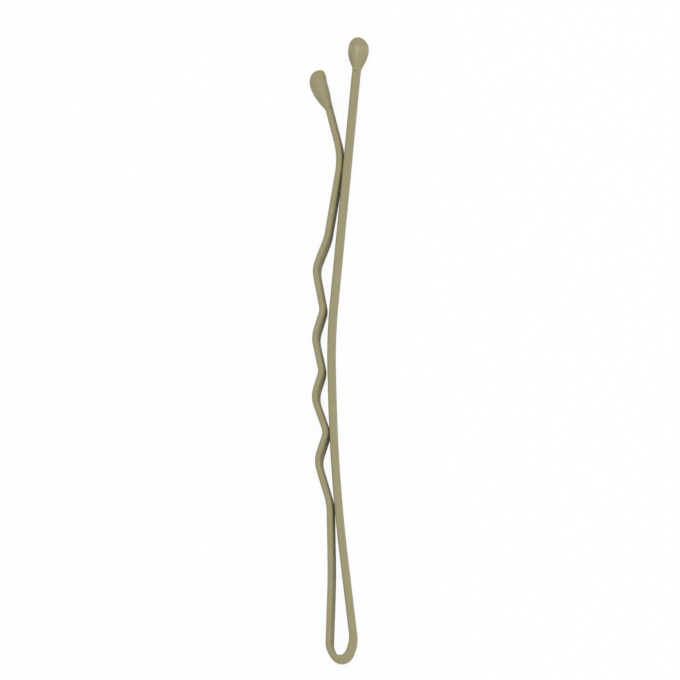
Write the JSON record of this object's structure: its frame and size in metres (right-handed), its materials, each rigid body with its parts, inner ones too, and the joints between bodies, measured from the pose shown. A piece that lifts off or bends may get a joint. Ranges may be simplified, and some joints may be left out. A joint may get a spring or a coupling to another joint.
{
  "type": "bobby pin",
  "caption": "Lacquered spring-wire hair pin: a narrow loop, one straight leg and one wavy leg that grip each other, each ending in a round bead.",
  "frame": {"origin": "centre of the arc at the foot of the loop, in the wire's mid-plane", "axes": "+Y from the loop towards the tips, +X towards the straight leg's side at the loop, +Z across the wire, out of the plane that the pin lies in"},
  "size_m": [0.0046, 0.05, 0.0016],
  "materials": {
    "spring_steel": "bare rolled spring steel, under the enamel",
    "olive_enamel": "satin olive-khaki lacquer",
    "olive_bead": "satin olive-khaki lacquer drop"
  },
  "bodies": {
    "bend": {"bend_wire": "spring_steel", "bend_enamel": "olive_enamel"},
    "straight_leg": {"straight_leg_wire": "spring_steel", "straight_leg_enamel": "olive_enamel", "straight_leg_tip": "olive_bead"},
    "wavy_leg": {"wavy_leg_wire": "spring_steel", "wavy_leg_enamel": "olive_enamel", "wavy_leg_tip": "olive_bead"}
  },
  "joints": [
    {"name": "straight_leg_opens", "type": "hinge", "parent": "bend", "child": "straight_leg", "pos_m": [0.00038, 0.006, 0], "axis": [0, 0, -1], "range_deg": [0, 7], "stiffness_Nm_per_rad": 0.08, "springref_deg": -2.98},
    {"name": "wavy_leg_opens", "type": "hinge", "parent": "bend", "child": "wavy_leg", "pos_m": [-0.00074, 0.006, 0], "axis": [0, 0, 1], "range_deg": [0, 7], "stiffness_Nm_per_rad": 0.08, "springref_deg": -2.98}
  ],
  "couplings": [
    {"joint": "wavy_leg_opens", "follows": "straight_leg_opens", "ratio": 1}
  ]
}
